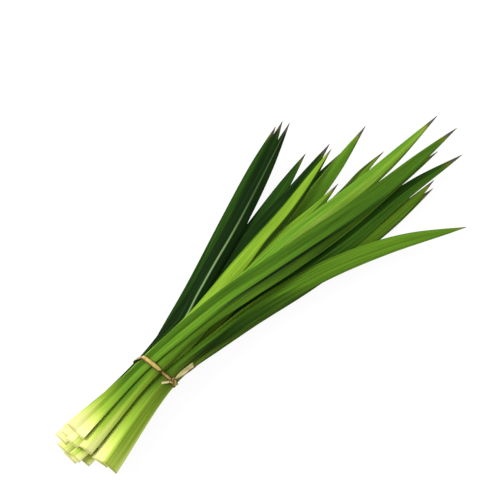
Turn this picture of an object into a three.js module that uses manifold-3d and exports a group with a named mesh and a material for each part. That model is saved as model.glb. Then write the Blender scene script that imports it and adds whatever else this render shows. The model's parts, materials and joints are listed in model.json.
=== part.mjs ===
// A bunch of pandan leaves, tied once near its cut ends with a strip of raffia, lying on a flat surface.
// Millimetres, +Z up. The leaves run along +X from their pale cut ends to their pointed tips, and +Y is
// the left side of the bunch seen from above. Every leaf is one solid: a long keeled blade, folded along
// its middle. The leaves are laid down one after another, and each settles on those below it.

import * as THREE from "three";
import { ConvexGeometry } from "three/addons/geometries/ConvexGeometry.js";
import { mergeVertices } from "three/addons/utils/BufferGeometryUtils.js";
import Module from "manifold-3d";

const wasm = await Module();
wasm.setup();

// Driving dimensions. Plan places are measured from the point under the middle of the tie.
const STATIONS = 26; // spans along a leaf
const LEAF_GAP = 0.25; // least height between two leaves
const SLIPS = [0, 3, -3, 5, -5]; // how far a leaf may slip sideways to lie lower
const SLIP_COST = 0.15; // what a millimetre of slip is worth in height
const LOOSE_LEAVES = 8; // how many of the lowest leaves may slip
const BRIDGE_PASSES = 12; // how far a leaf's stiffness spreads a high place along it
const CRADLE_RADIUS = 27; // how round the tie holds the underside of the bunch
const CRADLE_FLAT = 5; // half the width of the flat bottom of that round
const CRADLE_SIDE = 25; // how far out from the middle that round goes on rising
const CRADLE_REACH = 42; // how far along the leaves the tie holds them up
const TIE = { width: 4.6, thick: 0.9, gap: 0.35, flatHalf: 7, turns: 16, slant: 0.16, pivot: 14 };
const KNOT = { size: [7.4, 6.4, 5.4], across: -21.5, angle: 118, out: 1.2, sides: 20 };
const LONG_END = { toward: 1, length: 27, width: 5, thick: 1.5, angle: 118, lean: -3 };
const SHORT_END = { toward: -1, length: 11, width: 3.2, thick: 0.9, angle: 118, lean: -32 };

// A leaf's shape along its length, as [share of the length from the cut, value]
const BASE_AT = [0, 0.095, 0.19, 0.29]; // the cut end, halfway to the tie, just before the tie, and past it
const BLADE_WIDTH = [[0.5, 1], [0.76, 0.96], [0.88, 0.7], [0.945, 0.38], [1, 0.03]];
const FOLD_DEG = [[0, 24], [0.12, 20], [0.21, 17], [0.45, 24], [0.8, 20], [1, 24]];
const KEEL_THICK = [[0, 1.7], [0.22, 1.2], [0.5, 1], [1, 0.7]];
const EDGE_THICK = [[0, 0.9], [0.22, 0.7], [0.4, 0.62], [1, 0.6]];
const TWIST = [0.25, 0.6]; // where a leaf turns from its roll and fold at the tie to those of its blade
const RISE_FROM = 0.3; // where a blade begins to rise towards its tip
const SAME_POINT = 1e-4; // points closer than this are one point

const YOUNG = { color: 0x9cc23a, slot: "leaf_young" };
const MATURE = { color: 0x5f9a2c, slot: "leaf_mature" };
const DARK = { color: 0x2f5a24, slot: "leaf_dark" };
const RAFFIA = { color: 0xc9a55a, slot: "raffia" };

// The leaves from the bottom of the bunch to its top. Each has the plan place of its cut end, its place
// across the tie, the plan places that its blade passes on its way to the tip, the width, how wide its base
// is at each place of BASE_AT as shares of that, the roll in degrees with the left side up and how sharply
// the leaf is folded, both at the tie and in the blade, how far the tip stands above the surface, and its
// kind. A leaf with a fold below 0 has its keel underneath, as a trough.
const SLIM = [0.8, 0.65, 0.57, 0.72];
const LEAVES = [
  { cut: [-95, -20], tie: -5, way: [[154, -8], [304, -20]],
    width: 20, base: SLIM, roll: [0, 4], fold: [0.2, 0.4], rise: 0, kind: DARK },
  { cut: [-99, 2], tie: 5, way: [[154, 12], [294, 10]],
    width: 20, base: SLIM, roll: [0, -3], fold: [0.2, 0.4], rise: 0, kind: DARK },
  { cut: [-84, -22], tie: -11.5, way: [[74, -14], [144, -21], [259, -36]],
    width: 18, base: SLIM, roll: [-6, -4], fold: [0.2, 0.4], rise: 0, kind: DARK },
  { cut: [-105, 12], tie: 16, way: [[64, 31], [164, 70], [266, 114]],
    width: 18, base: SLIM, roll: [6, 4], fold: [0.2, 0.4], rise: 4, kind: DARK },
  { cut: [-113, -7], tie: -4, way: [[154, 0], [304, 0]],
    width: 20, base: SLIM, roll: [0, 3], fold: [0.2, 0.4], rise: 3, kind: DARK },
  { cut: [-82, -30], tie: -12.5, way: [[74, -13], [144, -21], [252, -37]],
    width: 17, base: SLIM, roll: [-4, -4], fold: [0.2, 0.5], rise: 4, kind: MATURE },
  { cut: [-96, 13], tie: 16, way: [[70, 29], [169, 64], [274, 113]],
    width: 18, base: SLIM, roll: [4, 4], fold: [0.2, 0.5], rise: 6, kind: DARK },
  { cut: [-113, 3], tie: 5, way: [[154, 30], [292, 50]],
    width: 18, base: SLIM, roll: [0, -5], fold: [0.2, 0.5], rise: 6, kind: DARK },
  { cut: [-107, -20], tie: -13, way: [[68, -16.8], [109, -20.2], [170, -27.6], [260, -35], [330, -38]],
    width: 18, base: SLIM, roll: [0, 6], fold: [0.2, 0.6], rise: 7, kind: MATURE },
  { cut: [-108, 11], tie: 12.5, way: [[159, 44], [266, 72]],
    width: 18, base: SLIM, roll: [0, -8], fold: [0.2, 0.5], rise: 8, kind: DARK },
  { cut: [-97, -33], tie: -14, way: [[114, -19], [204, -29], [294, -35], [336, -33]],
    width: 19, base: SLIM, roll: [2, 4], fold: [0.2, 0.7], rise: 9, kind: MATURE },
  { cut: [-93, -31], tie: -8, way: [[94, -9], [188, -20], [229, -23.5], [312, -24.5], [373, -33]],
    width: 19, base: SLIM, roll: [2, 7], fold: [0.2, 0.7], rise: 13, kind: DARK },
  { cut: [-112, -13], tie: -13, way: [[84, 0], [184, 9], [266, 15], [292, 19.6], [321, 21]],
    width: 17, base: SLIM, roll: [0, -8], fold: [0.2, 0.6], rise: 12, kind: MATURE },
  { cut: [-102, 8], tie: 14, way: [[164, 40], [229, 49], [288, 62]],
    width: 19, base: SLIM, roll: [-4, -8], fold: [0.2, 0.6], rise: 13, kind: DARK },
  { cut: [-91, 9], tie: 16, way: [[54, 19], [87, 31], [125, 45], [163, 59], [276, 105]],
    width: 15, base: SLIM, roll: [-4, -4], fold: [0.3, 0.6], rise: 12, kind: DARK },
  { cut: [-92, 5], tie: 0, way: [[114, 13], [208, 27.5], [269, 39], [326, 52]],
    width: 18.5, base: SLIM, roll: [0, -8], fold: [0.2, 0.7], rise: 14, kind: MATURE },
  { cut: [-90, -20], tie: -9, way: [[114, 11], [177, 17.5], [227, 19.5], [264, 24.5]],
    width: 16, base: SLIM, roll: [2, 0], fold: [0.2, 0.7], rise: 16, kind: MATURE },
  { cut: [-91, 9], tie: 12.5, way: [[64, 13], [135, 23.6], [206, 35.3], [284, 55]],
    width: 14, base: SLIM, roll: [-4, -4], fold: [0.2, 0.3], rise: 19, kind: YOUNG },
  { cut: [-106, -3], tie: 5, way: [[64, 8], [140, 6.5], [204, 8.8], [289, 7.5], [382, 11]],
    width: 19.5, base: SLIM, roll: [-2, -2], fold: [0.3, 1.2], rise: 20, kind: YOUNG },
  { cut: [-97.5, -40], tie: -18,
    way: [[66, -18.3], [106, -19.8], [157, -27], [212, -39.5], [265, -59.5], [322, -92]],
    width: 19, base: [1.6, 1.32, 1.05, 0.84], roll: [8, 4], fold: [1, 0.5], rise: 16, kind: MATURE },
  { cut: [-102, -17.7], tie: -2.5,
    way: [[64, 0], [125, -5.5], [166, -10], [237, -12.5], [293, -12.2], [358, -15]],
    width: 16, base: [0.95, 0.8, 0.7, 0.8], roll: [2, 3], fold: [0.7, 0.8], rise: 12, kind: MATURE },
  { cut: [-97, 1.3], tie: 7, way: [[63, 6.6], [103, 4.8], [164, -2], [255, -9], [386, -12]],
    width: 17.5, base: [1.24, 0.86, 0.66, 0.85], roll: [2, 2], fold: [-0.6, -0.6], rise: 22, kind: MATURE },
];

const radians = THREE.MathUtils.degToRad;
const lerp = THREE.MathUtils.lerp;

// The value at share u of a smooth line through a list of [share, value] pairs.
function along(pairs, u) {
  const [shares, values] = [0, 1].map((part) => pairs.map((pair) => pair[part]));
  return new THREE.CubicInterpolant(shares, values, 1, [0]).evaluate(u)[0];
}

// The leaf's six corner points at each station, as if its keel ran at height 0.
function leafRings(leaf) {
  const plan = new THREE.CatmullRomCurve3(
    [leaf.cut, [0, leaf.tie], ...leaf.way].map(([x, y]) => new THREE.Vector3(x, y, 0)),
  );
  const widths = [...BASE_AT.map((share, i) => [share, leaf.base[i]]), ...BLADE_WIDTH];
  return plan.getSpacedPoints(STATIONS).map((middle, i) => {
    const u = i / STATIONS;
    const tangent = plan.getTangentAt(u);
    const left = new THREE.Vector3(-tangent.y, tangent.x, 0);
    const turned = THREE.MathUtils.smoothstep(u, ...TWIST);
    const half = (leaf.width / 2) * along(widths, u);
    const fold = radians(lerp(...leaf.fold, turned) * along(FOLD_DEG, u));
    const roll = radians(lerp(...leaf.roll, turned));
    const keel = along(KEEL_THICK, u) / 2 / Math.cos(fold);
    const edge = along(EDGE_THICK, u) / 2 / Math.cos(fold);
    const reach = half * Math.cos(fold);
    const drop = -half * Math.sin(fold);
    const corners = [
      [reach, drop + edge], [0, keel], [-reach, drop + edge],
      [-reach, drop - edge], [0, -keel], [reach, drop - edge],
    ];
    return corners.map(([across, up]) => {
      const a = across * Math.cos(roll) - up * Math.sin(roll);
      const c = across * Math.sin(roll) + up * Math.cos(roll);
      return middle.clone().addScaledVector(left, a).setZ(c);
    });
  });
}

// The triangles between two rings. The upper and the lower faces are split alike.
function spanTriangles(from, to) {
  return from.flatMap((a, j) => {
    const k = (j + 1) % from.length;
    const [b, c, d] = [from[k], to[k], to[j]];
    return j < from.length / 2 ? [[a, b, c], [a, c, d]] : [[a, b, d], [b, c, d]];
  });
}

// The end face of a ring, as one wing each side of the keel.
function endTriangles([tl, tk, tr, br, bk, bl], facing) {
  const faces = [[tl, tk, bk], [tl, bk, bl], [tk, tr, br], [tk, br, bk]];
  return facing > 0 ? faces : faces.map(([a, b, c]) => [c, b, a]);
}

// The heights of everything laid down so far, on a grid of small cells.
class Bed {
  static CELL = 0.4;
  static LOW = [-150, -160];
  static SIZE = [1440, 850];

  constructor(floorAt) {
    const [nx, ny] = Bed.SIZE;
    this.height = Float32Array.from({ length: nx * ny }, (_, n) => {
      const [i, j] = [Math.floor(n / ny), n % ny];
      return floorAt(Bed.LOW[0] + i * Bed.CELL, Bed.LOW[1] + j * Bed.CELL);
    });
  }

  // Calls visit(cell number, height) for each cell under the triangle, and for those it just misses.
  under([a, b, c], visit) {
    const [x1, y1, x2, y2] = [b.x - a.x, b.y - a.y, c.x - a.x, c.y - a.y];
    const area = x1 * y2 - x2 * y1;
    if (Math.abs(area) < 1e-3) return;
    const miss = (Bed.CELL * Math.max(Math.hypot(x1, y1), Math.hypot(x2, y2))) / Math.abs(area);
    const margin = Math.min(0.5, miss * 0.7);
    const [lowX, lowY] = Bed.LOW;
    const cellOf = (value, low) => (value - low) / Bed.CELL;
    const [i0, i1] = [Math.min(a.x, b.x, c.x), Math.max(a.x, b.x, c.x)].map((x) => cellOf(x, lowX));
    const [j0, j1] = [Math.min(a.y, b.y, c.y), Math.max(a.y, b.y, c.y)].map((y) => cellOf(y, lowY));
    for (let i = Math.floor(i0); i <= Math.ceil(i1); i++) {
      for (let j = Math.floor(j0); j <= Math.ceil(j1); j++) {
        const [dx, dy] = [lowX + i * Bed.CELL - a.x, lowY + j * Bed.CELL - a.y];
        const s = (dx * y2 - x2 * dy) / area;
        const t = (x1 * dy - dx * y1) / area;
        if (s < -margin || t < -margin || s + t > 1 + margin) continue;
        visit(i * Bed.SIZE[1] + j, a.z + s * (b.z - a.z) + t * (c.z - a.z));
      }
    }
  }

  // How far each ring has to be lifted so that the leaf clears what lies below it.
  lifts(rings) {
    const lifts = rings.map(() => -Infinity);
    for (let i = 0; i < rings.length - 1; i++) {
      let most = -Infinity;
      for (const triangle of spanTriangles(rings[i], rings[i + 1])) {
        this.under(triangle, (n, z) => {
          most = Math.max(most, this.height[n] + LEAF_GAP - z);
        });
      }
      lifts[i] = Math.max(lifts[i], most);
      lifts[i + 1] = Math.max(lifts[i + 1], most);
    }
    return lifts;
  }

  cover(rings) {
    for (let i = 0; i < rings.length - 1; i++) {
      for (const triangle of spanTriangles(rings[i], rings[i + 1])) {
        this.under(triangle, (n, z) => {
          this.height[n] = Math.max(this.height[n], z);
        });
      }
    }
  }
}

// The tie runs a little aslant: how far the middle of the band is towards the tips, at a place across the leaves.
const bandAt = (y) => TIE.slant * (TIE.pivot - y);

// The surface, with the round that the tie holds the underside in. The lowest leaf lies on the surface.
function floorAt(x, y) {
  const side = THREE.MathUtils.clamp(Math.abs(y) - CRADLE_FLAT, 0, CRADLE_SIDE);
  const round = CRADLE_RADIUS - Math.sqrt(CRADLE_RADIUS ** 2 - side ** 2);
  return (TIE.gap + TIE.thick + round) * Math.exp(-(((x - bandAt(y)) / CRADLE_REACH) ** 2)) - LEAF_GAP;
}

// A stiff leaf can't follow every bump: it bridges from high place to high place in one smooth line.
function bridge(lifts) {
  const at = (list, i) => list[THREE.MathUtils.clamp(i, 0, list.length - 1)];
  let heights = lifts;
  for (let pass = 0; pass < BRIDGE_PASSES; pass++) {
    const now = heights;
    heights = now.map((height, i) => Math.max(lifts[i], (at(now, i - 1) + 2 * height + at(now, i + 1)) / 4));
  }
  return heights;
}

// The leaf is laid on the bed. It may slip aside at its cut and in the tie, and goes where it lies lowest.
function settle(leaf, bed, slips) {
  const places = slips.flatMap((tieSlip) =>
    slips.map((cutSlip) => {
      const cut = [leaf.cut[0], leaf.cut[1] + cutSlip];
      const rings = leafRings({ ...leaf, cut, tie: leaf.tie + tieSlip });
      const lifts = bed.lifts(rings);
      const held = lifts.filter((_, i) => rings[i][1].x < CRADLE_REACH);
      const height = held.reduce((sum, lift) => sum + lift, 0) / held.length;
      return { rings, lifts, cost: height + SLIP_COST * (Math.abs(tieSlip) + Math.abs(cutSlip)) };
    }),
  );
  const { rings, lifts } = places.reduce((best, place) => (place.cost < best.cost ? place : best));
  const rise = (i) => leaf.rise * THREE.MathUtils.smoothstep(i / STATIONS, RISE_FROM, 1);
  const heights = bridge(lifts.map((lift, i) => Math.max(lift, rise(i))));
  rings.forEach((ring, i) => ring.forEach((point) => (point.z += heights[i])));
  bed.cover(rings);
  return rings;
}

function geometryOf(triangles) {
  const positions = triangles.flat().flatMap((p) => [p.x, p.y, p.z]);
  const geometry = new THREE.BufferGeometry();
  geometry.setAttribute("position", new THREE.Float32BufferAttribute(positions, 3));
  return mergeVertices(geometry, SAME_POINT);
}

function leafGeometry(rings) {
  const spans = rings.slice(1).flatMap((ring, i) => spanTriangles(rings[i], ring));
  return geometryOf([...endTriangles(rings[0], -1), ...spans, ...endTriangles(rings.at(-1), 1)]);
}

// The [y, z] of the leaves' long edges between two planes that run as the band does: where they enter, bend and
// leave. The planes' places are measured from the middle of the band.
function edgesBetween(leaves, x0, x1) {
  const beyond = (point) => point.x - bandAt(point.y);
  return leaves.flatMap((rings) =>
    rings.slice(1).flatMap((ring, i) =>
      ring.flatMap((to, j) => {
        const from = rings[i][j];
        if (beyond(to) < x0 || beyond(from) > x1) return [];
        return [x0, x1].map((plane) => {
          const share = THREE.MathUtils.clamp((plane - beyond(from)) / (beyond(to) - beyond(from)), 0, 1);
          return [lerp(from.y, to.y, share), lerp(from.z, to.z, share)];
        });
      }),
    ),
  );
}

// A closed geometry as a solid that can be joined to another and cut by it.
function solid(geometry) {
  geometry.deleteAttribute("normal");
  geometry.deleteAttribute("uv");
  const { attributes, index } = mergeVertices(geometry, SAME_POINT);
  const vertProperties = attributes.position.array;
  return new wasm.Manifold(new wasm.Mesh({ numProp: 3, vertProperties, triVerts: Uint32Array.from(index.array) }));
}

// The outline round those edges, pulled tight at a given distance from them, as a solid of a given length.
// It is flat where it would reach below the surface, and down to the surface over the given half width.
function sleeve(edges, distance, length, flatHalf = 0) {
  const corners = edges.flatMap(([y, z]) =>
    Array.from({ length: TIE.turns }, (_, k) => {
      const angle = (2 * Math.PI * k) / TIE.turns;
      return [y + distance * Math.cos(angle), Math.max(0, z + distance * Math.sin(angle))];
    }),
  );
  if (flatHalf > 0) corners.push([-flatHalf, 0], [flatHalf, 0]);
  const ends = [-length / 2, length / 2];
  return solid(
    new ConvexGeometry(ends.flatMap((x) => corners.map(([y, z]) => new THREE.Vector3(x + bandAt(y), y, z)))),
  );
}

// Across the leaves, angles are measured from their left side towards the top.
const outward = (angle) => [Math.cos(radians(angle)), Math.sin(radians(angle))];
const dot = (a, b) => a[0] * b[0] + a[1] * b[1];

// One free end of the raffia: a flat strip from the knot, lying just outside the leaves that it passes.
function freeEnd(leaves, knot, end) {
  const out = outward(end.angle);
  const over = outward(end.angle - 90);
  const reach = end.toward * end.length;
  const passed = edgesBetween(leaves, Math.min(0, reach), Math.max(0, reach));
  const clear = Math.max(...passed.map((edge) => dot(edge, out))) + TIE.gap + end.thick / 2 - dot(knot, out);
  const aside = (Math.sin(radians(end.lean)) * reach) / 2;
  const strip = new THREE.BoxGeometry(end.length, end.width, end.thick);
  strip.rotateZ(radians(end.lean)).rotateX(radians(end.angle - 90));
  return solid(strip.translate(
    bandAt(knot[0]) + (Math.cos(radians(end.lean)) * reach) / 2,
    knot[0] + clear * out[0] + aside * over[0],
    knot[1] + clear * out[1] + aside * over[1],
  ));
}

function raffiaTie(leaves) {
  const held = edgesBetween(leaves, -TIE.width / 2, TIE.width / 2);
  const inside = sleeve(held, TIE.gap, 2 * TIE.width);
  const band = sleeve(held, TIE.gap + TIE.thick, TIE.width, TIE.flatHalf).subtract(inside);
  const out = outward(KNOT.angle);
  const reach = Math.max(...held.map((edge) => dot(edge, out)));
  const place = [KNOT.across, (reach - KNOT.across * out[0]) / out[1]];
  const [knotX] = KNOT.size;
  const clear = TIE.gap + TIE.thick + KNOT.out;
  const underKnot = edgesBetween(leaves, -knotX / 2, knotX / 2);
  const ball = new THREE.SphereGeometry(0.5, KNOT.sides, KNOT.sides / 2).scale(...KNOT.size);
  ball.rotateX(radians(KNOT.angle - 90));
  ball.translate(bandAt(KNOT.across), place[0] + clear * out[0], place[1] + clear * out[1]);
  const knot = solid(ball).subtract(sleeve(underKnot, TIE.gap, 2 * knotX));
  const ends = [LONG_END, SHORT_END].map((end) => freeEnd(leaves, place, end));
  return ends.reduce((whole, end) => whole.add(end), band.add(knot));
}

function fromManifold(manifold) {
  const { vertProperties, triVerts } = manifold.getMesh();
  const geometry = new THREE.BufferGeometry();
  geometry.setAttribute("position", new THREE.Float32BufferAttribute(vertProperties, 3));
  geometry.setIndex([...triVerts]);
  return geometry;
}

function named(geometry, name, kind) {
  const material = new THREE.MeshStandardMaterial({ color: kind.color, roughness: 0.45, metalness: 0 });
  material.name = kind.slot;
  const mesh = new THREE.Mesh(geometry, material);
  mesh.name = name;
  return mesh;
}

const bed = new Bed(floorAt);
const laid = LEAVES.map((leaf, i) => settle(leaf, bed, i < LOOSE_LEAVES ? SLIPS : [0]));
const bunch = new THREE.Group();
bunch.name = "pandan_leaf_bunch";
laid.forEach((rings, i) => {
  bunch.add(named(leafGeometry(rings), `leaf_${String(i + 1).padStart(2, "0")}`, LEAVES[i].kind));
});
bunch.add(named(fromManifold(raffiaTie(laid)), "raffia_tie", RAFFIA));

// The part's origin is under the middle of its box.
const box = new THREE.Box3().setFromObject(bunch);
const centre = box.getCenter(new THREE.Vector3());
bunch.position.set(-centre.x, -centre.y, -box.min.z);

export default bunch;
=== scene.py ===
"""A bunch of pandan leaves tied with a strip of raffia, lying on a pale floor.

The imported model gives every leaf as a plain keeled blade. Here each one gets a rounded keel, arched wings
with parallel ribs, thin margins, a fine point and a fibrous cut, on the same corner lines, and the tie becomes
a twisted raffia strip with a knot. Lengths are in metres unless a name or a comment says millimetres.
"""

import json
import math

import bpy
import numpy as np
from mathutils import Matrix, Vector


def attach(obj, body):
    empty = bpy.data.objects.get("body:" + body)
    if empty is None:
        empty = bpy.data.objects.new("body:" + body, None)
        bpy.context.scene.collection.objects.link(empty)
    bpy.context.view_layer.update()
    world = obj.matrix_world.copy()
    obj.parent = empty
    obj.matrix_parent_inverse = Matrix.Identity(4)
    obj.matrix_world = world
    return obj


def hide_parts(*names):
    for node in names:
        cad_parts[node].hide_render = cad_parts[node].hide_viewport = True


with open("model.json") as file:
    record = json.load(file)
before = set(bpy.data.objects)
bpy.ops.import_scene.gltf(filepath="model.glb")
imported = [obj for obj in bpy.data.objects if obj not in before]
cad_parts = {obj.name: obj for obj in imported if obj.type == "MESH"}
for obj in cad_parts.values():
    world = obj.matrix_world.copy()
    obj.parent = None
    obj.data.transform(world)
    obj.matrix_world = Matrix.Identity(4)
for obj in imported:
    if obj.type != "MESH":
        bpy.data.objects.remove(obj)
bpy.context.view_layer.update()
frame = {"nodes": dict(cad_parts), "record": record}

MM = 0.001

# The camera looks down on the bunch from beside the cut ends, from far off.
AIM = Vector((0.0144, 0.0155, 0.029))
AZIMUTH = math.radians(-43)
ELEVATION = math.radians(65)
VIEW_WIDTH = 0.475
LENS_MM = 500
SENSOR_MM = 36

# A leaf's section: how many points on a wing, and how its surface differs from the flat wings of the frame.
WING_POINTS = 20
SPAN_STEPS = 4  # sections for each one of the frame
RIBS = 5  # parallel ribs on a wing
RIB_HEIGHT = 0.045 * MM
RIBS_FROM = 0.15  # how far out on a wing the ribs have their full height
KEEL_HEIGHT = 0.13 * MM
KEEL_REACH = 0.09  # how far out on a wing the rounded keel reaches
ARCH = 0.30 * MM
ARCH_VARIES, ARCH_RUN = 0.5, 14  # how much the arch changes along a leaf, and over how many sections
MARGIN_THIN = 0.14 * MM
MARGIN_FROM = 0.75  # how far out on a wing it begins to thin
MARGIN_ROUND = 0.12 * MM
UNDER_RIBS, UNDER_THIN = 0.5, 0.6  # how much of the ribs and of the thinning the underside has
POINTED_FROM = 0.955  # where the tip begins to thin to its point
POINT_THICK = 0.3
CUT_ROUGH = 0.22 * MM
CUT_UNEVEN = (-0.2, 1)  # how far the cut's inner points lie in or out, as shares of its roughness

# The tie, as it lies in the frame. It runs a little aslant: the band crosses TIE_X at the place of its pivot.
TIE_X, TIE_Y = (MM * round(1000 * x, 1) for x in frame["record"]["mounts"][0]["pos_m"][:2])
TIE_SLANT, TIE_PIVOT = 0.16, 14 * MM
TIE_GAP = 0.35 * MM
TAUT_ANGLES = 721  # directions in which the leaves' outline is felt for
KNOT_Y = TIE_Y - 21.5 * MM
KNOT_ANGLE = math.radians(118)  # which way the knot faces, from the bunch's left side over the top
KNOT_OUT = 2.45 * MM
KNOT_SCALE = np.array([1.0, 0.9, 1.1]) * MM
KNOT_SECTIONS = 72
STRIP_POINTS = 32  # points round the raffia strip
BAND_SECTIONS = 240
BAND_HALF = 2.5 * MM
BAND_THICK = 0.42 * MM  # half the thickness of its rolled margins
NARROW_HALF = 2.0 * MM  # half the band's width between its twist and the knot
TWIST_BEFORE = 13 * MM  # how far before the knot the band's twist is
TWIST_HALF = 5.5 * MM
PINCH_NARROW, PINCH_THICK = 0.15, 0.8  # how much narrower and thicker the band is in the twist
BAND_BROWN = (0.1, 0.3, 0.5)  # how brown the band is, what the narrow part adds, and what the flank adds
DARK_FLANK = (12 * MM, 15 * MM)  # where the band grows brown, out from the middle
KNOT_STRIP = (1.0 * MM, 0.6 * MM)  # half its width and half its thickness
KNOT_BROWN = 0.15
ROLL_THIN = 0.45  # how thick the strip is between its rolled margins, as a share of theirs
ROLL_PLACE, ROLL_WIDTH = 0.78, 0.22  # where across the strip they are, and how wide
ROLL_UNEVEN = (0.8, 1.2)
LONG_END = dict(
    reach=27 * MM, lean=math.radians(-3), half=(1.1 * MM, 2.7 * MM), thick=0.45 * MM, curl=0.5, brown=0.8
)
SHORT_END = dict(
    reach=-11 * MM, lean=math.radians(-32), half=(0.9 * MM, 1.5 * MM), thick=0.4 * MM, curl=0.2, brown=0.3
)
END_SECTIONS = 40
SHELL_OFFSET = 9.0  # how far apart the strip's four shells lie in the fibres
FREE_FROM = 2  # the shells from this one on are free ends
END_PLANES = 9  # where the outline under a free end is felt for
END_RISES = (0, 0.4)  # where along a free end it rises clear of the leaves
END_WIDENS = (0.05, 0.6)
END_CURLS = (0.1, 0.7)
END_BROWN_FROM_KNOT, END_BROWN_AT_CUT = (0, 0.35), (0.94, 0.98)

# The colour of a leaf
LEAF_SHINE = 0.06  # a dull wax
WIDE_STREAKS, FINE_STREAKS, PATCHES = 0.35, 0.36, 0.1  # how much each changes the tone of the green
BAND_SHADE_REACH = 3.4 * MM  # how far from the middle of the band its painted shadow darkens the leaves
BAND_SHADE_STRENGTH = 0.5
SHADE_EDGE_SOFT = 0.12  # how softly one face's tone, with its painted light and shade, goes over into the other's
RIM_SOFT = (0.62, 0.86)  # where the wing goes over into its rim of painted light and shade, out from the keel
TONE_TURNS = (0.25, 0.75)  # where the tone near the tie goes over into that near the tip
LINE_FROM = (0.25, 0.38)  # where a pale line along the keel, partly a painted highlight, begins
LINE_SOFT = 0.4  # from which share of its half width a line fades
MARGIN_PALER, PALER_FROM = 0.35, (0.6, 0.95)  # how much less green a green cut is at its margins, and where
LEAF_OFFSET, UNDER_OFFSET = 13.7, 40.0  # how far apart leaves and faces lie in the streaks, in millimetres

SEED = 7

# The stage
FLOOR_HALF = 3  # half the side of the floor
FLOOR_DROP = 0.1 * MM  # how far the floor is below the bunch
FLOOR_BASE, FLOOR_GLOW = 0.1, 0.93
KEY_PLACE, KEY_SIZE, KEY_WATTS = (-0.9, 1.1, 1.1), 0.9, 40
SKY_STRENGTH = 0.7
WHITE = (1, 1, 1, 1)


def array_of(data, name, width):
    """One property of a mesh's vertices or edges as an array of rows."""
    kind = int if name == "vertices" else np.float32
    values = np.empty(len(data) * width, kind)
    data.foreach_get(name, values)
    return values.reshape(-1, width)


def smoothstep(low, high, value):
    t = np.clip((value - low) / (high - low), 0, 1)
    return t * t * (3 - 2 * t)


def unit(vectors):
    return vectors / np.linalg.norm(vectors, axis=-1, keepdims=True)


def corner_rings(node):
    """A leaf's sections from its cut to its tip, each as its corners: left, keel and right above, then right,
    keel and left below. The sections are found ring by ring along the mesh, from the cut end."""
    points, same = np.unique(
        np.round(array_of(node.data.vertices, "co", 3).astype(float), 6), axis=0, return_inverse=True
    )
    pairs = same.reshape(-1)[array_of(node.data.edges, "vertices", 2)]
    ring_of = np.full(len(points), -1)
    now = np.argsort(points[:, 0])[:6]
    rings = []
    while len(now):
        ring_of[now] = len(rings)
        rings.append(points[now])
        touching = np.isin(pairs, now).any(axis=1)
        beyond = np.unique(pairs[touching])
        now = beyond[ring_of[beyond] < 0]
    if any(len(ring) != 6 for ring in rings):
        raise ValueError(f"{node.name} isn't made of rings of six corners")
    middles = np.array([ring.mean(axis=0) for ring in rings])
    headings = np.gradient(middles, axis=0)
    return np.array([in_order(ring, heading) for ring, heading in zip(rings, headings)])


def in_order(corners, heading):
    leftness = corners[:, 0] * -heading[1] + corners[:, 1] * heading[0]
    pairs = corners[np.argsort(-leftness)].reshape(3, 2, 3)
    above = [max(pair, key=lambda p: p[2]) for pair in pairs]
    below = [min(pair, key=lambda p: p[2]) for pair in pairs]
    return above + below[::-1]


def smooth_rails(rings, steps):
    """More sections between the given ones, on a smooth curve through each corner."""
    first = 2 * rings[:1] - rings[1:2]
    last = 2 * rings[-1:] - rings[-2:-1]
    p = np.concatenate([first, rings, last])
    a, b, c, d = p[:-3], p[1:-2], p[2:-1], p[3:]
    t = (np.arange(steps) / steps)[None, :, None, None]
    a, b, c, d = (q[:, None] for q in (a, b, c, d))
    curve = b + 0.5 * t * (c - a + t * (2 * a - 5 * b + 4 * c - d + t * (3 * (b - c) + d - a)))
    return np.concatenate([curve.reshape(-1, *rings.shape[1:]), rings[-1:]])


def wobble(rng, count, reach):
    """A smooth random line of count values, within -1 to 1, that changes over about reach values."""
    knots = rng.uniform(-1, 1, int(count / reach) + 3)
    place = np.arange(count) / reach + rng.uniform(0, 1)
    low = place.astype(int)
    return knots[low] + (knots[low + 1] - knots[low]) * smoothstep(0, 1, place - low)


def wings(keel, left, right, across):
    """Points from the left edge over the keel to the right one, and the outward direction at each."""
    edge = np.where(across[None, :, None] < 0, left[:, None], right[:, None])
    flat = keel[:, None] + np.abs(across)[None, :, None] * (edge - keel[:, None])
    ahead = unit(np.gradient(keel, axis=0))
    up = [unit(np.cross(side, ahead)) for side in (keel - left, right - keel)]
    up = np.where(across[None, :, None] < 0, up[0][:, None], up[1][:, None])
    return flat, up


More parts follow.
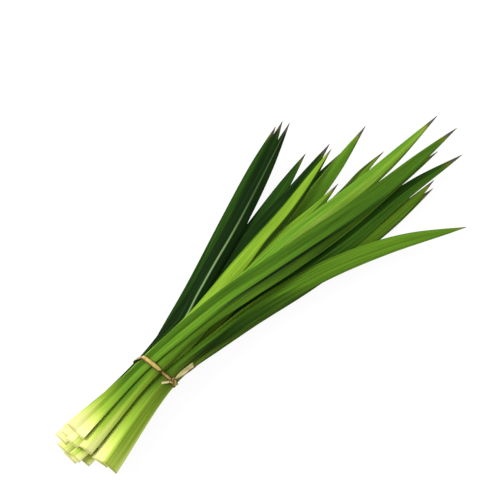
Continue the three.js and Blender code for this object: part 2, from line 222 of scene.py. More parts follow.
def leaf_surface(rings, rng):
    """The points of a leaf's sections, as (sections, points round, 3), above from left to right and then back
    below, with a point on each margin. Also how far across the leaf each is, from -1 to 1, and which face it
    is on, from 1 above to 0 below."""
    rails = smooth_rails(rings, SPAN_STEPS)
    count = len(rails)
    left, keel, right, right_low, keel_low, left_low = np.moveaxis(rails, 1, 0)
    across = np.arange(-WING_POINTS, WING_POINTS + 1) / WING_POINTS
    out = np.abs(across)[None, :]
    share = np.linspace(0, 1, count)[:, None]
    thin = 1 - (1 - POINT_THICK) * smoothstep(POINTED_FROM, 1, share)
    height = ARCH * (1 + ARCH_VARIES * wobble(rng, count, ARCH_RUN)[:, None])
    arch = height * 4 * out * (1 - out) * thin
    ribs = RIB_HEIGHT * np.cos(2 * math.pi * RIBS * out) * smoothstep(0, RIBS_FROM, out) * thin
    rim = MARGIN_THIN * smoothstep(MARGIN_FROM, 1, out)
    ridge = KEEL_HEIGHT * (1 - smoothstep(0, KEEL_REACH, out)) * thin
    above, up = wings(keel, left, right, across)
    below, up_low = wings(keel_low, left_low, right_low, across)
    middle = (above + below) / 2
    above, below = (middle + (side - middle) * thin[..., None] for side in (above, below))
    above = above + up * (arch + ribs + ridge - rim)[..., None]
    below = below + up_low * (arch + UNDER_RIBS * ribs + UNDER_THIN * rim)[..., None]
    edges = []
    for i, j in ((0, 1), (-1, -2)):
        sideways = unit(above[:, i] - above[:, j])
        edges.append((above[:, i] + below[:, i]) / 2 + MARGIN_ROUND * thin * sideways)
    points = np.concatenate([above, edges[1][:, None], below[:, ::-1], edges[0][:, None]], axis=1)
    place = np.concatenate([across, [1], across[::-1], [-1]])
    face = np.concatenate([np.ones(len(across)), [0.5], np.zeros(len(across)), [0.5]])
    return points, place, face


def tube_faces(sections, around, ring=False):
    """Quads between the sections of a tube. A ring also has them from its last section to its first."""
    here = np.arange(sections if ring else sections - 1)[:, None]
    i, ahead = here * around, (here + 1) % sections * around
    j = np.arange(around)[None, :]
    k = (j + 1) % around
    return np.stack([i + j, ahead + j, ahead + k, i + k], axis=-1).reshape(-1, 4).tolist()


def mesh_object(name, points, faces, attributes, material):
    mesh = bpy.data.meshes.new(name)
    mesh.from_pydata(points.tolist(), [], faces)
    mesh.polygons.foreach_set("use_smooth", np.ones(len(faces), bool))
    for key, values in attributes.items():
        kind, field = ("FLOAT_VECTOR", "vector") if np.ndim(values) == 2 else ("FLOAT", "value")
        made = mesh.attributes.new(key, kind, "POINT")
        made.data.foreach_set(field, np.asarray(values, np.float32).ravel())
    mesh.materials.append(material)
    mesh.update()
    made = bpy.data.objects.new(name, mesh)
    bpy.context.scene.collection.objects.link(made)
    return made


def sharpen(piece, rows):
    """The mesh's edges between neighbours in these rows of points are creases."""
    crease = {frozenset(pair) for row in rows for pair in zip(row, row[1:] + row[:1])}
    sharp = [frozenset(edge) in crease for edge in array_of(piece.data.edges, "vertices", 2).tolist()]
    piece.data.attributes.new("sharp_edge", "BOOLEAN", "EDGE").data.foreach_set("value", sharp)


# How each leaf looks, from the lowest to the topmost: the tone of its left and of its right wing, each near the
# tie and near the tip, from 0 for the deepest green to 1 for the palest, with the light and shade on the wings
# painted in, so that a lit wing is paler and a wing or leaf in shade darker; how yellow it is; how far up the
# pale base reaches on each wing as a share of the length; and how dry its tip is. A leaf may also have:
# - line, a pale line along its keel, partly the pale midrib and partly a painted highlight: its strength and
#   half width;
# - rim: what is added to the tone at the left and at the right margin, as painted light where above nothing and
#   painted shade where below it, where along the leaf, over what reach;
# - green: how green the cut is already on each wing, from 0 for a pale cut;
# - crease, the edge between the painted light and shade of the two wings, where the left wing's tone ends
#   beside
#   the keel: the share of the length where it starts, its place across the leaf there, the share where it
#       stops,
#   and its place there.
LOOKS = [
    dict(left=(0.3, 0.3), right=(0.2, 0.2), yellow=0.1, base=(0.09, 0.08), dry=0.3),
    dict(left=(0.3, 0.3), right=(0.2, 0.2), yellow=0.0, base=(0.10, 0.08), dry=0.3),
    dict(left=(0.3, 0.3), right=(0.3, 0.2), yellow=0.1, base=(0.08, 0.07), dry=0.3),
    dict(left=(0.12, 0.26), right=(0.03, 0.1), yellow=0.0, base=(0.10, 0.09), dry=0.8,
         line=(0.12, 0.06)),
    dict(left=(0.3, 0.3), right=(0.2, 0.2), yellow=0.2, base=(0.09, 0.10), dry=0.3),
    dict(left=(0.3, 0.3), right=(0.2, 0.2), yellow=0.1, base=(0.10, 0.07), dry=0.6, green=(0.5, 0.3)),
    dict(left=(0.02, 0.06), right=(0.16, 0.22), yellow=0.0, base=(0.09, 0.08), dry=0.8, line=(0.1, 0.08)),
    dict(left=(0.3, 0.3), right=(0.2, 0.2), yellow=0.0, base=(0.10, 0.09), dry=0.6, green=(0.2, 0.4)),
    dict(left=(0.45, 0.5), right=(0.45, 0.4), yellow=0.2, base=(0.09, 0.08), dry=0.7, green=(0.4, 0.4)),
    dict(left=(0.1, 0.22), right=(0.16, 0.34), yellow=0.0, base=(0.08, 0.07), dry=0.5),
    dict(left=(0.45, 0.42), right=(0.4, 0.45), yellow=0.4, base=(0.10, 0.08), dry=0.5, green=(0.1, 0.4)),
    dict(left=(0.2, 0.32), right=(0.1, 0.42), yellow=0.0, base=(0.09, 0.08), dry=0.9, green=(0.2, 0.5),
         rim=(-0.1, 0.05, 0.7, 0.3)),
    dict(left=(0.12, 0.24), right=(0.3, 0.56), yellow=0.4, base=(0.09, 0.07), dry=0.5, green=(0.6, 0.2)),
    dict(left=(0.05, 0.1), right=(0.14, 0.24), yellow=0.0, base=(0.09, 0.08), dry=0.9),
    dict(left=(0.1, 0.0), right=(0.05, 0.05), yellow=0.0, base=(0.10, 0.09), dry=0.9, line=(1.0, 0.16)),
    dict(left=(0.42, 0.55), right=(0.5, 0.45), yellow=0.1, base=(0.09, 0.08), dry=0.9, green=(0.5, 0.3)),
    dict(left=(0.75, 0.6), right=(0.62, 0.45), yellow=0.2, base=(0.10, 0.08), dry=0.8, green=(0.3, 0.6),
         rim=(0.4, -0.1, 0.66, 0.1)),
    dict(left=(0.76, 0.62), right=(0.22, 0.04), yellow=0.4, base=(0.09, 0.08), dry=0.4,
         rim=(-0.2, 0.0, 0.6, 0.5), crease=(0.56, 1.1, 0.72, 0.48)),
    dict(left=(0.52, 0.52), right=(0.84, 0.76), yellow=0.0, base=(0.10, 0.08), dry=0.9, green=(0, 0.45),
         rim=(0.06, -0.3, 0.85, 0.14)),
    dict(left=(0.36, 0.5), right=(-0.05, 0.48), yellow=0.2, base=(0.15, 0.34), dry=0.1,
         rim=(0.4, 0.1, 0.46, 0.1), green=(0.25, 0.75), crease=(0.5, -0.18, 0.72, 1.1)),
    dict(left=(0.45, 0.4), right=(0.45, 0.42), yellow=0.2, base=(0.10, 0.18), dry=0.7, line=(0.3, 0.14),
         green=(0.3, 0.3)),
    dict(left=(0.38, 0.42), right=(0.56, 0.36), yellow=0.1, base=(0.085, 0.075), dry=0.9,
         rim=(0.03, -0.6, 0.54, 0.17), crease=(0.0, -0.12, 1.0, -0.12)),
]


class Shader:
    """A material's nodes, made by short calls."""

    def __init__(self, name):
        self.material = bpy.data.materials.new(name)
        self.material.use_nodes = True
        self.tree = self.material.node_tree
        self.surface = self.tree.nodes["Principled BSDF"]

    def node(self, kind, inputs=(), **settings):
        made = self.tree.nodes.new("ShaderNode" + kind)
        for key, value in settings.items():
            setattr(made, key, value)
        for key, value in dict(inputs).items():
            self.put(value, made.inputs[key])
        return made

    def put(self, value, socket):
        if isinstance(value, bpy.types.NodeSocket):
            self.tree.links.new(value, socket)
        else:
            socket.default_value = value

    def attribute(self, name, output="Fac"):
        return self.node("Attribute", attribute_name=name).outputs[output]

    def math(self, operation, *values):
        return self.node("Math", enumerate(values), operation=operation).outputs[0]

    def varied(self, noise, strength):
        """A noise as what it adds to a value, as much below nothing as above."""
        return self.math("MULTIPLY", self.math("SUBTRACT", noise, 0.5), strength)

    def map(self, value, low, high, to_low=0.0, to_high=1.0):
        """The value eased from low..high to to_low..to_high, and held at the ends."""
        inputs = {"Value": value, "From Min": low, "From Max": high, "To Min": to_low, "To Max": to_high}
        return self.node("MapRange", inputs, interpolation_type="SMOOTHSTEP").outputs[0]

    def mix(self, share, a, b, blend="MIX"):
        """Colour a, going to colour b as share goes to 1."""
        made = self.node("Mix", data_type="RGBA", blend_type=blend)
        for place, value in ((0, share), (6, a), (7, b)):
            self.put(value, made.inputs[place])
        return made.outputs[2]

    def parts(self, vector):
        return self.node("SeparateXYZ", {0: vector}).outputs

    def ramp(self, value, stops):
        """The colour at a value from 0 to 1 of a smooth run through (value, colour) stops."""
        made = self.node("ValToRGB", {0: value})
        points = made.color_ramp.elements
        while len(points) < len(stops):
            points.new(0.5)
        for point, (place, shade) in zip(points, stops):
            point.position, point.color = place, shade
        return made.outputs[0]

    def noise(self, place, stretch, scale, detail, rough):
        """Noise over a place that is first stretched by a factor on each axis."""
        scaled = self.node("VectorMath", {0: place, 1: stretch}, operation="MULTIPLY").outputs[0]
        inputs = {"Vector": scaled, "Scale": scale, "Detail": detail, "Roughness": rough}
        return self.node("TexNoise", inputs).outputs["Fac"]

    def bump(self, height, distance, strength):
        inputs = {"Height": height, "Distance": distance, "Strength": strength}
        return self.node("Bump", inputs).outputs["Normal"]


def colour(red, green, blue):
    """A colour given as the screen shows it, from 0 to 255, for a shader."""
    shares = (red / 255, green / 255, blue / 255)
    return (*(c / 12.92 if c <= 0.04045 else ((c + 0.055) / 1.055) ** 2.4 for c in shares), 1.0)


# The greens that a tone runs through, and how far each kind of leaf is moved along them
GREENS = [
    (0.0, colour(10, 32, 2)),
    (0.25, colour(34, 68, 12)),
    (0.5, colour(73, 116, 24)),
    (0.75, colour(119, 162, 42)),
    (1.0, colour(178, 212, 92)),
]
OLIVE = colour(150, 150, 20)
KINDS = {"leaf_young": 0.05, "leaf_mature": 0.0, "leaf_dark": -0.05}
CREAM = colour(228, 226, 154)
CUT_EDGE = colour(140, 128, 66)
PALE_YELLOW = colour(190, 206, 92)
YELLOW_GREEN = colour(138, 170, 48)
# Painted shade along the leaves' margins, a pale keel line that is partly a painted highlight, and the painted
# shadow beside the band
MARGIN_SHADE = colour(96, 124, 44)
PALE_KEEL_AND_HIGHLIGHT = colour(150, 182, 120)
BAND_SHADE = colour(74, 78, 10)
DRY_TIP = colour(84, 74, 66)
STRAW = colour(150, 142, 46)
UNDERSIDE = colour(126, 150, 84)
PITH = colour(196, 196, 120)
RAFFIA = colour(208, 184, 104)
RAFFIA_FIBRE = colour(150, 122, 56)
RAFFIA_PALE = colour(216, 208, 150)
RAFFIA_BROWN = colour(78, 52, 20)

# Each noise as its stretch along the three axes of its place, its scale, its detail and its roughness
WIDE_NOISE = ((1.0, 0.02, 1.0), 0.55, 2.0, 0.5)
FINE_NOISE = ((1.0, 0.012, 1.0), 2.4, 2.0, 0.6)
PATCH_NOISE = ((0.12, 0.02, 1.0), 1.0, 1.0, 0.5)
PITH_NOISE = ((1.0, 0.02, 1.0), 1.6, 3.0, 0.5)
FIBRE_NOISE = ((4.0, 0.12, 1.0), 1.0, 3.0, 0.7)
BLOTCH_NOISE = ((1.0, 0.3, 1.0), 0.6, 1.0, 0.5)

# How one colour goes over into another on a leaf, each as the range that it does so in and, where given, its
# strength at both ends. The pale base runs over shares of its own reach, and the tip over shares of length.
OLIVE_STRENGTH = 0.6
BASE_RAGGED = 0.7
TO_PALE_YELLOW, TO_YELLOW_GREEN, TO_GREEN = (0.05, 0.75), (0.5, 1.1), (0.75, 1.9)
LINE_FADES = (0.55, 0.8, 0.6, 0.15)
CUT_RAGGED = -0.006
CUT_EDGE_RUN = (-0.003, 0.003, 0.55, 0)
MARGIN_SHADE_RUN = (0.94, 0.99, 0, 0.4)
TIP_RAGGED = 0.02
TIP_FRESH, TIP_DRIER = 0.995, 0.025  # where a fresh tip browns, and how much sooner a dry one does
STRAW_RUN = (-0.03, 0.0, 0, 0.7)
DRY_RUN = (-0.01, 0.006, 0, 0.9)
UNDERSIDE_STRENGTH = 0.3
PITH_RUN = (0.45, 0.7, 0, 0.6)
LEAF_ROUGH = (0.3, 0.8, 0.38, 0.52)
TIP_ROUGH = (-0.01, 0.02, 0, 0.3)
LEAF_BUMP = (0.12 * MM, 0.8)

# The same for raffia
FIBRE_RUN = (0.42, 0.62, 0, 0.7)
FREE_END_PALER = 0.85
BOTH_MARGINS = (0.35, 0.9, 0, 0.9)
ONE_MARGIN = (0.2, 0.75, 0, 0.95)
BLOTCH_RUN = (0.4, 0.7, -0.15, 0.2)
RAFFIA_ROUGH, RAFFIA_SHINE = 0.45, 0.3
RAFFIA_BUMP = (0.2 * MM, 0.9)


def leaf_material(name, offset):
    """Fresh leaf: parallel veins, a pale base, a tone that carries painted light and shade, thin margins drawn
    towards a middle green as a painted shade line along the paler leaves, a pale keel line that is partly a
    painted highlight, and a dry tip.
    """
    s = Shader(name)
    along = s.attribute("leaf_along")
    across = s.attribute("leaf_across")
    face = s.attribute("leaf_face")
    place = s.attribute("leaf_mm", "Vector")
    tone, yellow, line = s.parts(s.attribute("leaf_look", "Vector"))
    base, dry, start = s.parts(s.attribute("leaf_ends", "Vector"))
    out = s.math("ABSOLUTE", across)

    wide_streaks = s.noise(place, *WIDE_NOISE)
    fine_streaks = s.noise(place, *FINE_NOISE)
    patches = s.noise(place, *PATCH_NOISE)

    # The tone carries each wing's painted light and shade, with streaks and patches of the leaf's own
    tone = s.math("ADD", tone, offset)
    for streaks, strength in ((wide_streaks, WIDE_STREAKS), (fine_streaks, FINE_STREAKS), (patches, PATCHES)):
        tone = s.math("ADD", tone, s.varied(streaks, strength))
    green = s.ramp(tone, GREENS)
    olive = s.math("MULTIPLY", s.math("MULTIPLY", yellow, tone), OLIVE_STRENGTH)
    green = s.mix(olive, green, s.mix(1.0, green, OLIVE, "SCREEN"))

    # The pale base: how far along the leaf is, as a share of how far its own pale part reaches
    reach = s.math("ADD", start, s.math("DIVIDE", along, base))
    ragged = s.math("ADD", reach, s.varied(wide_streaks, BASE_RAGGED))
    pale = s.mix(s.map(ragged, *TO_PALE_YELLOW), CREAM, PALE_YELLOW)
    pale = s.mix(s.map(ragged, *TO_YELLOW_GREEN), pale, YELLOW_GREEN)
    body = s.mix(s.map(ragged, *TO_GREEN), pale, green)

    # A pale line along the keel: the pale midrib, and partly a painted highlight on it
    body = s.mix(s.math("MULTIPLY", line, s.map(along, *LINE_FADES)), body, PALE_KEEL_AND_HIGHLIGHT)
    from_cut = s.math("ADD", along, s.math("MULTIPLY", fine_streaks, CUT_RAGGED))
    body = s.mix(s.map(from_cut, *CUT_EDGE_RUN), body, CUT_EDGE)
    # The band's painted shadow on the leaves beside it
    body = s.mix(s.math("MULTIPLY", s.attribute("leaf_band_shade"), BAND_SHADE_STRENGTH), body, BAND_SHADE)
    # The margins pulled towards one middle green: a painted shade line along the edges of the paler leaves
    body = s.mix(s.math("MULTIPLY", s.map(out, *MARGIN_SHADE_RUN), tone), body, MARGIN_SHADE)

    # The dry tip: how far past the place where the leaf begins to brown
    tip = s.math("ADD", along, s.varied(fine_streaks, TIP_RAGGED))
    past = s.math("SUBTRACT", tip, s.math("SUBTRACT", TIP_FRESH, s.math("MULTIPLY", dry, TIP_DRIER)))
    body = s.mix(s.math("MULTIPLY", s.map(past, *STRAW_RUN), tone), body, STRAW)
    body = s.mix(s.map(past, *DRY_RUN), body, DRY_TIP)
    body = s.mix(s.map(face, 0.0, 0.5), s.mix(UNDERSIDE_STRENGTH, body, UNDERSIDE), body)
    pith = s.noise(place, *PITH_NOISE)
    body = s.mix(s.attribute("leaf_cut"), body, s.mix(s.map(pith, *PITH_RUN), CREAM, PITH))
    s.put(body, s.surface.inputs["Base Color"])

    rough = s.map(patches, *LEAF_ROUGH)
    s.put(s.math("ADD", rough, s.map(past, *TIP_ROUGH)), s.surface.inputs["Roughness"])
    s.put(s.bump(fine_streaks, *LEAF_BUMP), s.surface.inputs["Normal"])
    s.surface.inputs["Specular IOR Level"].default_value = LEAF_SHINE
    return s.material


def raffia_material():
    """Dry raffia: golden, fibrous along the strip, and brown at its rolled margins. Its free ends are paler,
    and brown at one margin only."""
    s = Shader("raffia_strip")
    place = s.attribute("raffia_mm", "Vector")
    across, brown, free = s.parts(s.attribute("raffia_look", "Vector"))
    fibres = s.noise(place, *FIBRE_NOISE)
    blotches = s.noise(place, *BLOTCH_NOISE)
    body = s.mix(s.map(fibres, *FIBRE_RUN), RAFFIA, RAFFIA_FIBRE)
    body = s.mix(s.math("MULTIPLY", free, FREE_END_PALER), body, RAFFIA_PALE)
    both = s.math("MULTIPLY", s.map(s.math("ABSOLUTE", across), *BOTH_MARGINS), s.math("SUBTRACT", 1, free))
    one = s.math("MULTIPLY", s.map(across, *ONE_MARGIN), free)
    margins = s.math("ADD", both, one)
    brown = s.math("ADD", s.math("ADD", brown, margins), s.map(blotches, *BLOTCH_RUN))
    body = s.mix(brown, body, RAFFIA_BROWN)
    s.put(body, s.surface.inputs["Base Color"])
    s.surface.inputs["Roughness"].default_value = RAFFIA_ROUGH
    s.surface.inputs["Specular IOR Level"].default_value = RAFFIA_SHINE
    s.put(s.bump(fibres, *RAFFIA_BUMP), s.surface.inputs["Normal"])
    return s.material


def tones(look, along, across):
    """At places on a leaf: its tone, which carries the painted light and shade, how far the pale base reaches,
    how strong the pale line is, and how green the cut is."""
    # The painted light and shade: the tone of each wing, the crease between them and the rims at the margins
    start, at_start, stop, at_stop = look.get("crease", (0, 0, 1, 0))
    crease = at_start + (at_stop - at_start) * smoothstep(start, stop, along)
    right = smoothstep(-SHADE_EDGE_SOFT, SHADE_EDGE_SOFT, across - crease)
    left_tone, right_tone = (
        low + (high - low) * smoothstep(*TONE_TURNS, along) for low, high in (look["left"], look["right"])
    )
    rim_left, rim_right, middle, reach = look.get("rim", (0, 0, 0, 1))
    rim = rim_left * smoothstep(*RIM_SOFT, -across) + rim_right * smoothstep(*RIM_SOFT, across)
    rim = rim * np.exp(-((along - middle) / reach) ** 2)
    base_left, base_right = look["base"]
    green_left, green_right = look.get("green", (0, 0))
    strength, half_width = look.get("line", (0, 1))
    faded = smoothstep(LINE_SOFT, 1, np.abs(across) / half_width)
    line = strength * smoothstep(*LINE_FROM, along) * (1 - faded)
    green = green_left + (green_right - green_left) * right
    green = green * (1 - MARGIN_PALER * smoothstep(*PALER_FROM, np.abs(across)))
    tone = left_tone + (right_tone - left_tone) * right + rim
    base = base_left + (base_right - base_left) * right
    return tone, base, line, green


def band_at(y):
    """How far along the bunch the middle of the slanting band is, at a place across it."""
    return TIE_X + TIE_SLANT * (TIE_PIVOT - (y - TIE_Y))


def add_leaf(node, number, look, slot):
    """Makes the leaf that replaces a node, and gives the points of its sections back."""
    rng = np.random.default_rng(SEED * 100 + number)
    points, place, face = leaf_surface(corner_rings(node), rng)
    sections, around = points.shape[:2]
    middle = points.mean(axis=1)
    steps = np.linalg.norm(np.diff(middle, axis=0), axis=1)
    run = np.concatenate([[0], np.cumsum(steps)])
    half = np.linalg.norm(points[:, 0] - points[:, 2 * WING_POINTS], axis=1) / 2
    widest = half.max()
    share = np.repeat(run / run[-1], around)

    top = np.arange(2 * WING_POINTS + 1)
    right, left = 2 * WING_POINTS + 1, around - 1
    low = np.arange(right + 1, left)[::-1]
    inner = (points[0, top] + points[0, low]) / 2
    back = unit(middle[0] - middle[1])
    inner = inner + back * rng.uniform(*CUT_UNEVEN, len(inner))[:, None] * CUT_ROUGH
    tip = points[-1].mean(axis=0) + unit(middle[-1] - middle[-2]) * MARGIN_ROUND
    all_points = np.concatenate([points.reshape(-1, 3), inner, [tip]])

    # A leaf's points run round it the other way than a strip's, so its faces are turned round
    faces = [quad[::-1] for quad in tube_faces(sections, around)]
    first = sections * around
    for j in range(2 * WING_POINTS):
        a, b = first + j, first + j + 1
        faces.append([a, b, int(top[j + 1]), int(top[j])])
        faces.append([int(low[j]), int(low[j + 1]), b, a])
    faces.append([left, first, int(top[0])])
    faces.append([int(low[0]), first, left])
    faces.append([first + 2 * WING_POINTS, right, int(top[-1])])
    faces.append([int(low[-1]), right, first + 2 * WING_POINTS])
    last = (sections - 1) * around
    end = len(all_points) - 1
    faces += [[last + j, last + (j + 1) % around, end] for j in range(around)]

    across = np.tile(place, sections)
    mm = np.stack([
        np.broadcast_to(place[None, :] * widest / MM, (sections, around)).ravel(),
        np.repeat(run / MM, around),
        np.tile(np.where(face < 0.5, UNDER_OFFSET, 0.0), sections) + LEAF_OFFSET * number,
    ], axis=1)
    inner_across = place[top]
    along = np.concatenate([share, np.zeros(len(inner)), [1]])
    sideways = np.concatenate([across, inner_across, [0]])
    tone, base, line, green = tones(look, along, sideways)
    # How near each point is to the middle of the band, for the band's painted shadow
    from_band = (all_points[:, 0] - band_at(all_points[:, 1])) / BAND_SHADE_REACH
    band_shade = np.exp(-(from_band ** 2))
    inner_mm = np.stack([
        inner_across * widest / MM, np.zeros(len(inner)), np.full(len(inner), LEAF_OFFSET * number)
    ], axis=1)
    attributes = {
        "leaf_along": along,
        "leaf_across": sideways,
        "leaf_face": np.concatenate([np.tile(face, sections), np.full(len(inner), 0.5), [0.5]]),
        "leaf_mm": np.concatenate([mm, inner_mm, mm[-1:]]),
        "leaf_cut": np.concatenate([np.zeros(len(across)), np.ones(len(inner)), [0]]),
        "leaf_look": np.stack([tone, np.full(len(tone), look["yellow"]), line], axis=1),
        "leaf_ends": np.stack([base, np.full(len(tone), look["dry"]), green], axis=1),
        "leaf_band_shade": band_shade,
    }
    piece = mesh_object(f"pandan_leaf_{number:02d}", all_points, faces, attributes, materials[slot])
    sharpen(piece, [list(range(around))])
    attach(piece, "root")
    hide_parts(node.name)
    return points


materials = {name: leaf_material(name, offset) for name, offset in KINDS.items()}
slots = {part["node"]: part["material_slot"] for part in frame["record"]["subparts"]}
leaves = []
for number, look in enumerate(LOOKS, 1):
    name = f"leaf_{number:02d}"
    leaves.append(add_leaf(frame["nodes"][name], number, look, slots[name]))


def crossings(planes):
    """The (y, z) places where the leaves' long lines cross planes that run as the band does."""
    found = []
    for points in leaves:
        beyond = points[..., 0] - band_at(points[..., 1])
        for line, rail in zip(beyond.T, np.moveaxis(points, 1, 0)):
            for plane in planes:
                found.append([np.interp(plane, line, rail[:, 1]), np.interp(plane, line, rail[:, 2])])
    return np.array(found)


def taut_line(places):
    """The closed line round (y, z) places, pulled tight, as evenly spaced places that start at the knot."""
    angles = np.linspace(0, 2 * math.pi, TAUT_ANGLES)
    out = np.stack([np.cos(angles), np.sin(angles)], axis=1)
    line = places[np.argmax(out @ places.T, axis=1)] + TIE_GAP * out
    run = np.concatenate([[0], np.cumsum(np.linalg.norm(np.diff(line, axis=0), axis=1))])
    even = np.linspace(0, run[-1], BAND_SECTIONS, endpoint=False)
    line = np.stack([np.interp(even, run, line[:, k]) for k in (0, 1)], axis=1)
    above = line[:, 1] > np.median(line[:, 1])
    first = np.argmin(np.where(above, np.abs(line[:, 0] - KNOT_Y), 1))
    return np.roll(line, -first, axis=0), run[-1]


def strip(centres, ups, half, thick, turn=0.0, curl=0.0, brown=0.0, ring=False, seed=0):
    """A strip of raffia along its middle line, as points, faces and a row for each point: how far across the
    strip it is, how many millimetres along, and how brown. It is thick along both rolled margins and thin
    between, turns about its line by an angle, and may have its margins curled up."""
    rng = np.random.default_rng(SEED + seed)
    count = len(centres)
    half, thick, turn, curl, brown = (np.full(count, v)[:, None] for v in (half, thick, turn, curl, brown))
    ahead = np.gradient(centres, axis=0)
    if ring:
        ahead = np.roll(centres, -1, axis=0) - np.roll(centres, 1, axis=0)
    side = unit(np.cross(ahead, ups))
    up = np.cross(side, unit(ahead))
    side, up = np.cos(turn) * side + np.sin(turn) * up, np.cos(turn) * up - np.sin(turn) * side

    angle = 2 * math.pi * np.arange(STRIP_POINTS) / STRIP_POINTS
    across = np.cos(angle)
    rolled = ROLL_THIN + (1 - ROLL_THIN) * np.exp(-((np.abs(across) - ROLL_PLACE) / ROLL_WIDTH) ** 2)
    rolled = rolled * rng.uniform(*ROLL_UNEVEN, STRIP_POINTS)
    height = np.sign(np.sin(angle)) * np.sqrt(1 - across ** 6) * rolled
    lift = thick * height + curl * half * across ** 2
    points = centres[:, None] + (half * across)[..., None] * side[:, None] + lift[..., None] * up[:, None]
    run = np.concatenate([[0], np.cumsum(np.linalg.norm(np.diff(centres, axis=0), axis=1))])
    table = np.stack(np.broadcast_arrays(across, run[:, None] / MM, brown), axis=-1)

    faces = tube_faces(count, STRIP_POINTS, ring)
    points, table = points.reshape(-1, 3), table.reshape(-1, 3)
    if not ring:
        first, last = len(points), len(points) + 1
        end = first - STRIP_POINTS
        for j in range(STRIP_POINTS):
            k = (j + 1) % STRIP_POINTS
            faces += [[j, k, first], [end + k, end + j, last]]
        points = np.concatenate([points, [points[:STRIP_POINTS].mean(axis=0), points[end:].mean(axis=0)]])
        table = np.concatenate([table, table[[0, end]] * [0, 1, 1]])
    return points, faces, table


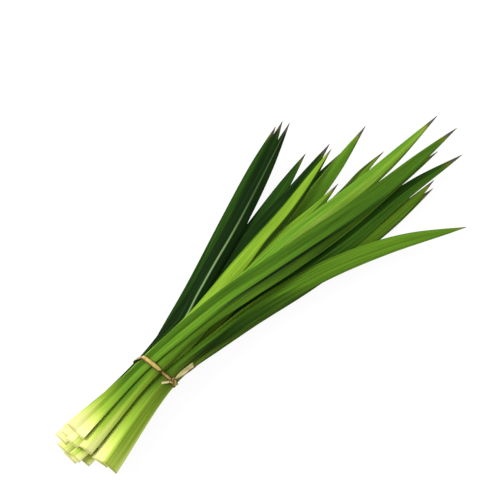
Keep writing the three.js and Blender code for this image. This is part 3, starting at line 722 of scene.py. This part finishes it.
def add_tie():
    """Makes the raffia: its band, its knot and its two free ends, as one piece of four shells."""
    out = np.array([0, math.cos(KNOT_ANGLE), math.sin(KNOT_ANGLE)])
    over = np.array([0, math.sin(KNOT_ANGLE), -math.cos(KNOT_ANGLE)])
    line, length = taut_line(crossings((-BAND_HALF, 0, BAND_HALF)))

    # The band, from the knot down the right side, under the bunch and back over the top
    closed = np.concatenate([line, line[:1]])
    ahead = np.roll(line, -3, axis=0) - np.roll(line, 3, axis=0)
    outward = unit(np.stack([ahead[:, 1], -ahead[:, 0]], axis=1))
    outward = np.concatenate([outward, outward[:1]])
    to_go = length * (1 - np.arange(len(closed)) / len(line))
    narrow = smoothstep(-TWIST_HALF, TWIST_HALF, TWIST_BEFORE - to_go)
    turn = math.pi * narrow
    pinch = np.exp(-((to_go - TWIST_BEFORE) / (0.5 * TWIST_HALF)) ** 2)
    half = (BAND_HALF + (NARROW_HALF - BAND_HALF) * narrow) * (1 - PINCH_NARROW * pinch)
    thick = BAND_THICK * (1 + PINCH_THICK * pinch)
    places = closed + np.hypot(half * np.sin(turn), thick * np.cos(turn))[:, None] * outward
    places[:, 1] = np.maximum(places[:, 1], BAND_THICK)
    flank = smoothstep(*DARK_FLANK, places[:, 0] - TIE_Y)
    brown = BAND_BROWN[0] + BAND_BROWN[1] * narrow + BAND_BROWN[2] * flank
    centres = np.column_stack([band_at(places[:, 0]), places])
    ups = np.column_stack([np.zeros(len(outward)), outward])
    shells = [strip(centres, ups, half, thick, turn, brown=brown, seed=1)]

    # The knot: the strip passes over and under itself in three lobes
    reach = (line @ out[1:]).max()
    knot = np.array([band_at(KNOT_Y), KNOT_Y, (reach - KNOT_Y * out[1]) / out[2]]) + KNOT_OUT * out
    t = 2 * math.pi * np.arange(KNOT_SECTIONS) / KNOT_SECTIONS
    lobes = np.stack([np.sin(t) + 2 * np.sin(2 * t), np.cos(t) - 2 * np.cos(2 * t), -np.sin(3 * t)], axis=1)
    centres = knot + (lobes * KNOT_SCALE) @ np.array([[1, 0, 0], over, out])
    shells.append(strip(centres, np.tile(out, (len(t), 1)), *KNOT_STRIP, brown=KNOT_BROWN, ring=True, seed=2))

    for seed, end in enumerate((LONG_END, SHORT_END), 3):
        share = np.linspace(0, 1, END_SECTIONS)
        passed = crossings(np.linspace(0, end["reach"], END_PLANES))
        clear = (passed @ out[1:]).max() + TIE_GAP + end["thick"] - knot @ out
        far = end["reach"] * (np.array([math.cos(end["lean"]), 0, 0]) + math.sin(end["lean"]) * over)
        centres = knot + share[:, None] * far + smoothstep(*END_RISES, share)[:, None] * clear * out
        half = end["half"][0] + (end["half"][1] - end["half"][0]) * smoothstep(*END_WIDENS, share)
        curl = end["curl"] * smoothstep(*END_CURLS, share)
        brown = 1 - smoothstep(*END_BROWN_FROM_KNOT, share) + smoothstep(*END_BROWN_AT_CUT, share)
        brown = end["brown"] * brown
        ups = np.tile(out, (len(share), 1))
        shells.append(strip(centres, ups, half, end["thick"], curl=curl, brown=brown, seed=seed))

    offsets = np.cumsum([0] + [len(shell) for shell, _, _ in shells])
    faces = []
    for offset, (_, shell_faces, _) in zip(offsets.tolist(), shells):
        faces += [[offset + i for i in face] for face in shell_faces]
    across, run, brown = np.concatenate([table for _, _, table in shells]).T
    number = np.repeat(np.arange(len(shells)), np.diff(offsets))
    attributes = {
        "raffia_mm": np.stack([across, run, SHELL_OFFSET * number], axis=1),
        "raffia_look": np.stack([across, brown, number >= FREE_FROM], axis=1),
    }
    points = np.concatenate([shell for shell, _, _ in shells])
    piece = mesh_object("raffia_strip", points, faces, attributes, raffia_material())
    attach(piece, "root")
    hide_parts("raffia_tie")


add_tie()


def add_floor():
    corners = np.array([[-1, -1, 0], [1, -1, 0], [1, 1, 0], [-1, 1, 0]]) * FLOOR_HALF - [0, 0, FLOOR_DROP]
    floor = mesh_object("floor", corners, [[0, 1, 2, 3]], {}, None)
    s = Shader("floor")
    s.surface.inputs["Base Color"].default_value = (FLOOR_BASE, FLOOR_BASE, FLOOR_BASE, 1)
    s.surface.inputs["Roughness"].default_value = 1.0
    s.surface.inputs["Specular IOR Level"].default_value = 0.0
    s.surface.inputs["Emission Color"].default_value = WHITE
    s.surface.inputs["Emission Strength"].default_value = FLOOR_GLOW
    floor.data.materials[0] = s.material


def add_light(name, place, size, watts):
    """A square soft light at a place, facing the bunch."""
    data = bpy.data.lights.new(name, "AREA")
    data.size = size
    data.energy = watts
    made = bpy.data.objects.new(name, data)
    made.location = place
    made.rotation_euler = (AIM - made.location).to_track_quat("-Z", "Y").to_euler()
    bpy.context.scene.collection.objects.link(made)


def add_camera():
    data = bpy.data.cameras.new("camera")
    data.lens = LENS_MM
    data.sensor_width = SENSOR_MM
    data.clip_end = 100
    made = bpy.data.objects.new("camera", data)
    back = Vector((
        math.sin(AZIMUTH) * math.cos(ELEVATION), -math.cos(AZIMUTH) * math.cos(ELEVATION), math.sin(ELEVATION)
    ))
    made.location = AIM + back * VIEW_WIDTH * LENS_MM / SENSOR_MM
    made.rotation_euler = (-back).to_track_quat("-Z", "Y").to_euler()
    bpy.context.scene.collection.objects.link(made)
    bpy.context.scene.camera = made


add_floor()
add_camera()
add_light("key", KEY_PLACE, KEY_SIZE, KEY_WATTS)
world = bpy.data.worlds.new("studio")
bpy.context.scene.world = world
world.use_nodes = True
background = world.node_tree.nodes["Background"]
background.inputs["Color"].default_value = WHITE
background.inputs["Strength"].default_value = SKY_STRENGTH
bpy.context.scene.view_settings.view_transform = "Standard"
